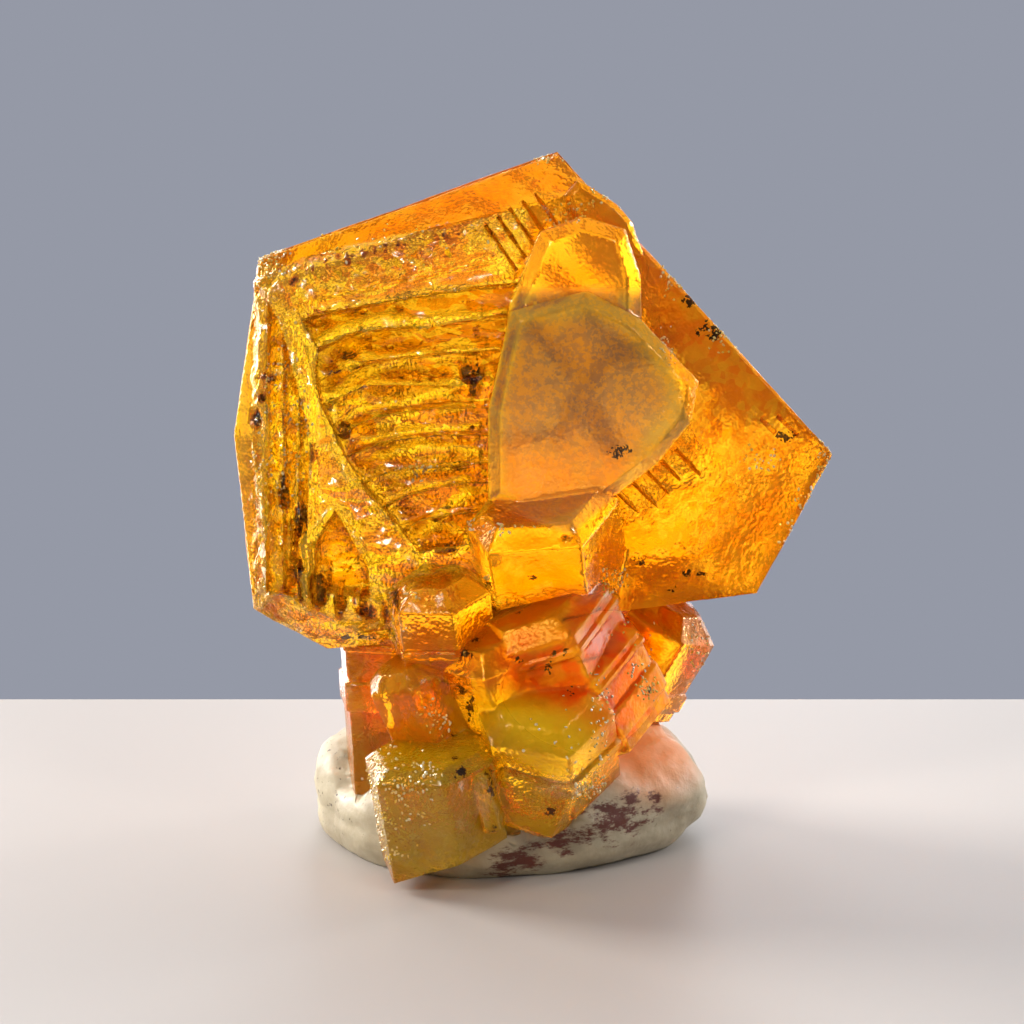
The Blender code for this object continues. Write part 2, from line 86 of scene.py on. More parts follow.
# stage: a plain pale slab, a grey-blue surround, and soft boxes that stand mostly behind the specimen
stage = {
    "slab": (-26, -19, 26, 15.5),  # mm: two corners
    "slabColour": "#B4B0AE",
    "slabRoughness": 0.5,
    "surround": "#9599A6",
    "frontStrength": 0.5,  # the side of the room behind the camera against the backdrop
    "surroundTurn": 0.3,  # how far round the change takes
    "plainBoxes": ["above", "front", "frontLeft", "frontRight"],  # seen only by their light on surfaces
    # place, aim, width and height in mm, radiance, colour
    "boxes": {
        "key": ((-200, 90, 100), (0, 0, 10), 90, 90, 26, "#FFF4E6"),
        "backLeft": ((-272, 127, 40), (0, 0, 10), 120, 260, 6.0, "#FFFFFF"),
        "backMiddleLeft": ((-150, 260, 50), (0, 0, 10), 110, 280, 4.8, "#FFFFFF"),
        "backMiddle": ((26, 299, 60), (0, 0, 10), 110, 280, 2.8, "#FFFFFF"),
        "backMiddleRight": ((193, 230, 50), (0, 0, 10), 110, 280, 2.5, "#FFFFFF"),
        "backRight": ((290, 78, 40), (0, 0, 10), 100, 260, 3.4, "#FFFFFF"),
        "above": ((-30, 190, 240), (0, 0, 10), 260, 120, 2.0, "#FFFFFF"),
        "under": ((0, 140, -90), (0, 0, 10), 300, 160, 1.5, "#FFFFFF"),
        "front": ((0, -300, 36), (0, 0, 14), 320, 38, 0.6, "#FFDCA8"),
        "rim": ((230, 120, 100), (0, 0, 12), 50, 50, 30, "#FFF8F0"),
        "frontLeft": ((-150, -200, 190), (0, 0, 8), 60, 60, 27, "#FFF4E4"),
        "frontRight": ((150, -190, 200), (0, 0, 8), 60, 60, 13, "#FFF4E4"),
    },
}


def setStage():
    x0, y0, x1, y1 = (value * mm for value in stage["slab"])
    mesh = bpy.data.meshes.new("floor")
    mesh.from_pydata([(x0, y0, 0), (x1, y0, 0), (x1, y1, 0), (x0, y1, 0)], [], [(0, 1, 2, 3)])
    floor = bpy.data.objects.new("floor", mesh)
    bpy.context.scene.collection.objects.link(floor)
    paint = bpy.data.materials.new("palePaint")
    paint.use_nodes = True
    shader = paint.node_tree.nodes["Principled BSDF"]
    setUp(paint.node_tree, shader, {"Base Color": stage["slabColour"], "Roughness": stage["slabRoughness"]})
    mesh.materials.append(paint)
    world = bpy.data.worlds.new("studio")
    world.use_nodes = True
    tree = world.node_tree
    way = addNode(tree, "ShaderNodeTexCoord", output="Generated")
    way = addNode(tree, "ShaderNodeSeparateXYZ", {0: way}, "Y")
    turn = {"From Min": -stage["surroundTurn"], "From Max": stage["surroundTurn"], "To Min": stage["frontStrength"]}
    behind = addNode(tree, "ShaderNodeMapRange", {"Value": way, "To Max": 1.0, **turn})
    setUp(tree, tree.nodes["Background"], {"Color": stage["surround"], "Strength": behind})
    bpy.context.scene.world = world
    for name, (place, aim, width, height, radiance, colour) in stage["boxes"].items():
        light = bpy.data.lights.new(name, "AREA")
        light.shape = "RECTANGLE"
        light.size = width * mm
        light.size_y = height * mm
        light.energy = radiance * math.pi * light.size * light.size_y
        light.color = linearColour(colour)[:3]
        lamp = bpy.data.objects.new(name, light)
        lamp.location = Vector(place) * mm
        lamp.rotation_euler = (Vector(aim) * mm - lamp.location).to_track_quat("-Z", "Y").to_euler()
        lamp.visible_camera = False
        light.cycles.use_multiple_importance_sampling = name not in stage["plainBoxes"]
        bpy.context.scene.collection.objects.link(lamp)


def viewAxes():
    tilt = math.radians(view["tilt"])
    ahead = np.array((0, math.cos(tilt), -math.sin(tilt)))
    up = np.array((0, math.sin(tilt), math.cos(tilt)))
    return np.array(view["target"]) - ahead * view["distance"], ahead, up


def setCamera():
    camera = bpy.data.objects.new("camera", bpy.data.cameras.new("camera"))
    bpy.context.scene.collection.objects.link(camera)
    camera.location = Vector(viewAxes()[0]) * mm
    camera.rotation_euler = (Vector(view["target"]) * mm - camera.location).to_track_quat("-Z", "Y").to_euler()
    camera.data.sensor_width = 36
    camera.data.lens = view["lens"]
    camera.data.clip_start = 0.001
    bpy.context.scene.camera = camera


setStage()
setCamera()
say("stage and camera set")


# shared shape helpers, on arrays of points in mm
def smooth(share):
    share = np.clip(share, 0, 1)
    return share * share * (3 - 2 * share)


# 0 up to a border and 1 past it, over a soft stretch; and the other way round
def past(values, border, soft):
    return smooth((values - border) / soft)


def before(values, border, soft):
    return smooth((border - values) / soft)


# mm right and up of the view's centre at which the front view shows each point
def frontView(points):
    eye, ahead, up = viewAxes()
    away = points - eye
    scale = view["distance"] / (away @ ahead)
    return np.stack([away[:, 0] * scale, away @ up * scale], axis=1)


def distanceTo(line, places):
    found = np.full(len(places), 1e9)
    for start, end in zip(line, line[1:]):
        start, along = np.array(start), np.array(end) - np.array(start)
        share = np.clip((places - start) @ along / (along @ along), 0, 1)
        found = np.minimum(found, np.linalg.norm(places - start - share[:, None] * along, axis=1))
    return found


# 1 inside an ellipse of the front view, 0 outside it
def onSpot(spot, places, soft=0.45):
    away = np.hypot((places[:, 0] - spot[0]) / spot[2], (places[:, 1] - spot[1]) / spot[3])
    return smooth((1 + soft - away) / (2 * soft))


# lumps about size mm across, from about -1 to 1; size may differ along x, y and z
def lumps(points, size, octaves=3, start=0.0):
    scaled = points / size + (start, start, start)
    return np.array([noise.fractal(Vector(point), 0.9, 2.1, octaves) for point in scaled])


def ridges(points, size, octaves=4, start=0.0):
    scaled = points / size + (start, start, start)
    return np.array([noise.ridged_multi_fractal(Vector(point), 0.9, 2.1, octaves, 1.0, 2.0) for point in scaled]) - 1.1


def pointsOf(shape):
    return np.array([vert.co[:] for vert in shape.verts]) / mm


def normalsOf(shape):
    shape.normal_update()
    return np.array([vert.normal[:] for vert in shape.verts])


def endsOf(shape):
    shape.verts.index_update()
    return np.array([(edge.verts[0].index, edge.verts[1].index) for edge in shape.edges])


def mergedCopy(name):
    shape = bmesh.new()
    shape.from_mesh(bpy.data.objects[name].data)
    bmesh.ops.remove_doubles(shape, verts=shape.verts[:], dist=1e-7)
    bmesh.ops.dissolve_limit(shape, angle_limit=math.radians(0.3), verts=shape.verts[:], edges=shape.edges[:])
    bmesh.ops.triangulate(shape, faces=shape.faces[:])
    return shape


# halves edges until none is much longer than the spacing where it lies; a face turned from the front view is coarser
def refine(shape, spacing, coarse, rounds=11):
    ahead = Vector(viewAxes()[1])
    for turn in range(rounds):
        points, ends, edges = pointsOf(shape), endsOf(shape), list(shape.edges)
        shape.normal_update()
        turned = np.array([max(-face.normal.dot(ahead) for face in edge.link_faces) for edge in edges])
        first, last = points[ends[:, 0]], points[ends[:, 1]]
        wanted = np.where(turned > 0.06, spacing((first + last) / 2), coarse)
        tooLong = np.nonzero(np.linalg.norm(last - first, axis=1) > 1.35 * wanted)[0]
        if not len(tooLong):
            break
        bmesh.ops.subdivide_edges(shape, edges=[edges[number] for number in tooLong], cuts=1)
        bmesh.ops.triangulate(shape, faces=[face for face in shape.faces if len(face.verts) > 3])


# each point's mean of its neighbours
def spread(values, ends):
    both = np.concatenate([ends, ends[:, ::-1]])
    total = np.stack([np.bincount(both[:, 0], column[both[:, 1]], len(values)) for column in values.T], axis=1)
    return total / np.bincount(both[:, 0], minlength=len(values))[:, None]


# how far each point stands above the surface smoothed over its surroundings, mm
def standing(points, normals, ends, rounds):
    low = points
    for turn in range(rounds):
        low = 0.5 * low + 0.5 * spread(low, ends)
    return np.sum((points - low) * normals, axis=1)


# how closed in each point is, from 0 to 1
def crevices(shape, points, normals, reach, rays):
    tree = BVHTree.FromBMesh(shape)
    ways = []
    for number in range(rays):
        height = (number + 0.5) / rays
        turn = number * 2.399963  # the golden angle spreads the rays evenly
        out = math.sqrt(1 - height * height)
        ways.append(Vector((out * math.cos(turn), out * math.sin(turn), height)))
    found = []
    for point, normal in zip(points, normals):
        normal = Vector(normal)
        start = Vector(point) * mm + normal * 0.02 * mm
        turn = normal.to_track_quat("Z", "Y")
        hits = [tree.ray_cast(start, turn @ way, reach * mm)[3] for way in ways]
        found.append(sum(1 - 0.6 * hit / (reach * mm) for hit in hits if hit is not None) / rays)
    return np.array(found)


def moveAlong(shape, ways, heights):
    for vert, way, height in zip(shape.verts, ways, heights):
        vert.co += Vector(way) * float(height) * mm


def finishPiece(name, shape, material, attributes, sharpAngle, node):
    mesh = bpy.data.meshes.new(name)
    for face in shape.faces:
        face.smooth = True
    shape.to_mesh(mesh)
    shape.free()
    mesh.validate()  # takes out slivers that refining doubled
    for label, values in attributes.items():
        mesh.attributes.new(label, "FLOAT", "POINT").data.foreach_set("value", np.asarray(values, dtype=np.float32))
    mesh.set_sharp_from_angle(angle=math.radians(sharpAngle))
    mesh.materials.append(material)
    piece = bpy.data.objects.new(name, mesh)
    bpy.context.scene.collection.objects.link(piece)
    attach(piece, "root")
    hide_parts(node)
    say(f"{name}: {len(mesh.polygons)} triangles")
    return piece


# shared material helpers
# a new material, its tree, its shader and places in mm
def newMaterial(name):
    made = bpy.data.materials.new(name)
    made.use_nodes = True
    tree = made.node_tree
    place = addNode(tree, "ShaderNodeTexCoord", output="Object")
    place = addNode(tree, "ShaderNodeVectorMath", {"operation": "SCALE", 0: place, "Scale": 1 / mm})
    return made, tree, tree.nodes["Principled BSDF"], place


# settings for a smooth change from least at low to most at high
def rise(low, high, least=0.0, most=1.0):
    return {"interpolation_type": "SMOOTHSTEP", "From Min": low, "From Max": high, "To Min": least, "To Max": most}


# lays colours one over another, each as strongly as its share times its factor
def layered(tree, look, lowest, layers):
    colour = look[lowest]
    for share, factor, name in layers:
        if factor != 1:
            share = addNode(tree, "ShaderNodeMath", {"operation": "MULTIPLY", 0: share, 1: factor})
        colour = addNode(tree, "ShaderNodeMix", {"data_type": "RGBA", 0: share, 6: colour, 7: look[name]}, 2)
    return colour


# 1 inside an ellipsoid, 0 outside it
def zone(tree, place, centre, halfSize, soft):
    away = addNode(tree, "ShaderNodeVectorMath", {"operation": "SUBTRACT", 0: place, 1: centre})
    away = addNode(tree, "ShaderNodeVectorMath", {"operation": "DIVIDE", 0: away, 1: halfSize})
    reach = addNode(tree, "ShaderNodeVectorMath", {"operation": "LENGTH", 0: away}, "Value")
    return addNode(tree, "ShaderNodeMapRange", {"Value": reach, **rise(1 - soft, 1 + soft, 1.0, 0.0)})


# Mimetite: lead chloride-arsenate, half clear, with a resinous lustre, grown in hopper steps. It soaks up the blue and
# part of the green, so light from behind makes it glow yellow where it is clear and orange-red where it is cloudy.
crystalLook = {
    "yellow": "#FFC000",
    "orange": "#FF8400",
    "ember": "#FF4A00",
    "olive": "#FFC808",
    "crest": "#FFDC28",
    "rib": "#DC8200",
    "trough": "#DC6C00",
    "plate": "#CC842C",
    "plateReflection": "#86624A",
    "brownShade": "#8A3C00",
    "grimeAndShade": "#1A0B04",
    "clouds": {"Scale": 0.9, "Detail": 2.0, "Roughness": 0.6},  # per mm: clouds about 1 mm across
    "fine": {"Scale": 4.6, "Detail": 2.0, "Roughness": 0.8},  # breaks up every other pattern
    "uneven": {"Scale": 6.0, "Detail": 1.0, "Roughness": 0.7},
    "bump": 0.09,  # mm
    "bend": 0.8,  # mm: how far the clouds bend the blades and grains
    "blades": {"Rotation": (0, math.radians(-8), 0), "Scale": (0.9, 1.5, 4.6)},  # 0.2 mm apart, along the ribs
    "grains": 4.2,  # per mm: sugary grains 0.24 mm across
    "lustre": (1.0, 0.5, 0.08, 1.0),  # resinous: light that enters just under the surface comes back yellow
    "roughness": 0.17,
    "emberRoughness": 0.3,
    "ior": 1.65,  # the mineral's is 2.1, and its clouded skin mirrors less than that
    "transmission": 0.74,
    "cloudedTransmission": 0.15,  # on the plate, in the middle and in the large crystal's upper right
    "glitter": 0.55,
    "glitterTilt": 1.1,
    "glitterIor": 1.9,
    "glitterRoughness": 0.12,
}


def mimetite():
    look = crystalLook
    made, tree, shader, place = newMaterial("mimetite")
    add = partial(addNode, tree)
    names = ["yellow", "ember", "olive", "plate", "clouded", "hopper", "ribs", "sugar", "level", "crest", "crevice"]
    names += ["dark", "flecks", "crack", "mirror"]
    given = {name: add("ShaderNodeAttribute", {"attribute_name": name}, "Fac") for name in names}
    cloud = add("ShaderNodeTexNoise", {"Vector": place, **look["clouds"]})
    fine = add("ShaderNodeTexNoise", {"Vector": place, **look["fine"]})
    uneven = add("ShaderNodeTexNoise", {"Vector": place, **look["uneven"]})
    cloudLow = add("ShaderNodeMapRange", {"Value": cloud, **rise(0.5, 0.36, 0.0, 0.4)})
    cloudHigh = add("ShaderNodeMapRange", {"Value": cloud, **rise(0.52, 0.64, 0.0, 0.2)})
    # painted reflection: the plate's face is painted mottled grey-mauve where it mirrors the grey-blue room
    mottle = add("ShaderNodeMapRange", {"Value": fine, **rise(0.42, 0.56, 0.0, 0.65)})
    reflectionVeil = add("ShaderNodeMapRange", {"Value": cloud, **rise(0.42, 0.58, 0.0, 0.35)})
    reflectionVeil = add("ShaderNodeMath", {"operation": "ADD", 0: mottle, 1: reflectionVeil})
    reflectionVeil = add("ShaderNodeMath", {"operation": "MULTIPLY", 0: reflectionVeil, 1: 0.8})
    # cells of growth, each its own shade: blades along the ribs, grains elsewhere
    bent = add("ShaderNodeVectorMath", {"operation": "SCALE", 0: cloud.node.outputs["Color"], "Scale": look["bend"]})
    bent = add("ShaderNodeVectorMath", {"operation": "ADD", 0: place, 1: bent})
    blades = add("ShaderNodeMapping", {"Vector": bent, **look["blades"]})
    grains = add("ShaderNodeVectorMath", {"operation": "SCALE", 0: bent, "Scale": look["grains"]})
    cells = add("ShaderNodeMix", {"data_type": "VECTOR", 0: given["ribs"], 4: grains, 5: blades}, 1)
    cells = add("ShaderNodeTexVoronoi", {"Vector": cells, "Scale": 1.0}, "Color")
    share = add("ShaderNodeMath", {"operation": "MAXIMUM", 0: given["ribs"], 1: given["sugar"]})
    cellLow = add("ShaderNodeMapRange", {"Value": cells, **rise(0.5, 0.3, 0.0, 0.7)})
    cellHigh = add("ShaderNodeMapRange", {"Value": cells, **rise(0.54, 0.7, 0.0, 0.9)})
    # painted shade and highlight: low ground is painted deep brown-orange as shade and crests yellow as highlight,
    # most of all in the hopper
    stepped = add("ShaderNodeMath", {"operation": "MULTIPLY", 0: given["hopper"], 1: 0.65})
    stepped = add("ShaderNodeMath", {"operation": "ADD", 0: stepped, 1: 0.3})
    low = add("ShaderNodeMapRange", {"Value": given["level"], **rise(0.5, 0.15, 0.0, 0.85)})
    high = add("ShaderNodeMapRange", {"Value": given["level"], **rise(0.5, 0.8, 0.0, 0.85)})
    # painted shade in pits, notches and crevices, with ragged edges
    ragged = add("ShaderNodeMath", {"operation": "SUBTRACT", 0: fine, 1: 0.5})
    ragged = add("ShaderNodeMath", {"operation": "MULTIPLY", 0: ragged, 1: 2.4})
    creviceShade = add("ShaderNodeMapRange", {"Value": given["crevice"], **rise(0.5, 0.95, 0.0, 0.45)})
    creviceShade = add("ShaderNodeMath", {"operation": "MULTIPLY", 0: creviceShade, 1: given["hopper"]})
    stainAndShade = add("ShaderNodeMath", {"operation": "MAXIMUM", 0: given["dark"], 1: creviceShade})
    paintedShade = add("ShaderNodeMath", {"operation": "ADD", 0: stainAndShade, 1: ragged})
    shaded = add("ShaderNodeMapRange", {"Value": stainAndShade, **rise(0.0, 0.25)})
    paintedShade = add("ShaderNodeMath", {"operation": "MULTIPLY", 0: paintedShade, 1: shaded})
    brownShade = add("ShaderNodeMapRange", {"Value": paintedShade, **rise(0.35, 0.6)})
    grimeAndShade = add("ShaderNodeMapRange", {"Value": paintedShade, **rise(0.75, 0.95)})
    # dark mossy flecks, 0.1 to 0.3 mm, where the front shows them
    moss = add("ShaderNodeMath", {"operation": "MULTIPLY", 0: fine, 1: given["flecks"]})
    moss = add("ShaderNodeMapRange", {"Value": moss, **rise(0.44, 0.5)})
    # painted light in these layers: the left side's yellow is painted key light, the plate's colours a painted
    # reflection, the browns and near-black in low ground, pits and crevices painted shade, and the yellow on crests a
    # painted highlight; the near-black also colours the real flecks and cracks
    layers = [
        (given["yellow"], 1, "yellow"), (given["ember"], 1, "ember"), (given["olive"], 1, "olive"),
        (cloudLow, 1, "trough"), (cloudHigh, 1, "crest"), (given["plate"], 0.9, "plate"),
        (given["plate"], reflectionVeil, "plateReflection"), (given["ribs"], 0.6, "rib"), (cellLow, share, "trough"),
        (given["olive"], 0.6, "olive"), (cellHigh, share, "crest"), (low, stepped, "brownShade"),
        (high, stepped, "crest"), (given["crest"], 0.95, "crest"), (brownShade, 1, "brownShade"), (grimeAndShade, 1, "grimeAndShade"),
        (moss, 1, "grimeAndShade"), (given["crack"], 1, "grimeAndShade"),
    ]
    # rough growth in the hopper, only a faint unevenness on the flat faces
    strength = add("ShaderNodeMath", {"operation": "MULTIPLY", 0: share, 1: 0.8})
    strength = add("ShaderNodeMath", {"operation": "ADD", 0: strength, 1: 0.2})
    bump = add("ShaderNodeBump", {"Distance": look["bump"] * mm, "Height": uneven, "Strength": strength})
    # the middle of the cluster is cloudier
    duller = look["emberRoughness"] - look["roughness"]
    duller = add("ShaderNodeMath", {"operation": "MULTIPLY", 0: given["ember"], 1: duller})
    veiled = look["cloudedTransmission"] - look["transmission"]
    veiled = add("ShaderNodeMath", {"operation": "MULTIPLY", 0: given["clouded"], 1: veiled})
    # the smoothest faces mirror the room, and each grain or blade has its own tilt, so some of them flash
    tilt = add("ShaderNodeVectorMath", {"operation": "SUBTRACT", 0: cells, 1: (0.5, 0.5, 0.5)})
    amount = add("ShaderNodeMath", {"operation": "MULTIPLY", 0: share, 1: look["glitterTilt"]})
    tilt = add("ShaderNodeVectorMath", {"operation": "SCALE", 0: tilt, "Scale": amount})
    outward = add("ShaderNodeNewGeometry", None, "Normal")
    tilt = add("ShaderNodeVectorMath", {"operation": "ADD", 0: outward, 1: tilt})
    glitter = add("ShaderNodeMath", {"operation": "MULTIPLY", 0: share, 1: look["glitter"]})
    setUp(tree, shader, {
        "Base Color": layered(tree, look, "orange", layers),
        "Normal": bump,
        "Roughness": add("ShaderNodeMath", {"operation": "ADD", 0: duller, 1: look["roughness"]}),
        "IOR": look["ior"],
        "Specular Tint": look["lustre"],
        "Transmission Weight": add("ShaderNodeMath", {"operation": "ADD", 0: veiled, 1: look["transmission"]}),
        "Coat Normal": add("ShaderNodeVectorMath", {"operation": "NORMALIZE", 0: tilt}),
        "Coat Weight": add("ShaderNodeMath", {"operation": "MAXIMUM", 0: given["mirror"], 1: glitter}),
        "Coat IOR": look["glitterIor"],
        "Coat Roughness": look["glitterRoughness"],
    })
    return made


# crystals: the large crystal's own axes are across its face, up it, and out of it
crystalShape = {
    "faceAt": (-0.007, -2.426, 13.9),
    "facePitch": 82,
    "finest": 0.112,  # mm between points on the hopper
    "faceFine": 0.18,  # on the rest of the large crystal's front
    "fine": 0.21,  # on the front of the other crystals
    "coarse": 0.42,  # on the back
    "crackFine": 0.07,  # beside a crack
    "plate": [
        (-0.65, 2.95), (0.2, 5.3), (1.5, 5.75), (2.75, 5.35), (3.2, 4.0), (4.9, 0.9), (4.7, -0.3), (3.7, -1.5),
        (1.1, -3.5), (-1.3, -2.6), (-1.3, 0.0),
    ],  # across and up the face, clockwise
    "borders": {  # mm: where each region ends, and how soft its edge is
        "front": (-0.4, 0.6),
        "faceBack": (-3.7, 0.4),
        "faceFoot": (6.6, 0.6),
        "plate": (-0.1, 0.2),
        "rim": (0.0, 0.12),
        "leftHalf": (0.1, 0.4),
        "leftEdge": (-8.1, 0.3),
        "hopperTop": (1.1, 0.4),
        "band": (-1.5, 0.3),
        "sector": (-5.9, 0.4),
        "mirror": (1.6, 2.0),
        "reflectionTop": (3.75, 0.5),
        "reflectionFoot": (-2.5, 3.5),
        "glints": (1.8, 0.6),
    },
    "growth": {  # height and size in mm, octaves, and where its noise starts
        "steps": (0.009, 2.3, 2, 5.0),
        "skin": (0.006, 0.32, 3, 2.0),
        "plateSteps": (0.004, 1.3, 2, 8.0),
        "blades": (0.035, 0.34, 3, 4.0),
        "sugar": (0.04, 0.4, 3, 6.0),
        "grains": (0.04, 0.45, 3, 8.0),
        "rightFace": (0.012, 0.5, 3, 7.0),
    },
    "ribHeight": 1.5,  # of the heights read from the photograph
    # a row of small notches under the rim, in the front view
    "notches": {"first": -6.3, "last": -1.7, "count": 21, "below": 0.22, "halfSize": (0.05, 0.15), "darkness": 0.75},
    "crackWidth": 0.05,
    # painted light: the left side, where the key lamp falls, is painted a brighter yellow
    "keyLightYellowZone": ((-6.2, -3, 13.5), (4.5, 12, 7), 0.6),  # mm: centre, half size; then how soft its border is
    "emberZone": ((1.7, -4.5, 6.2), (4.2, 5, 3.2), 0.5),
    "hazeZone": ((6.6, -1.5, 16.2), (3.4, 6, 4.6), 0.6),
    "oliveZone": ((-1.3, -6.3, 3.0), (4.6, 3.8, 3.6), 0.3),
    "rimLine": [(-6.98, 7.51), (-5.91, 7.91), (-4.68, 8.18), (-3.45, 8.46), (-1.91, 8.74), (0.55, 9.35)],  # front view
}

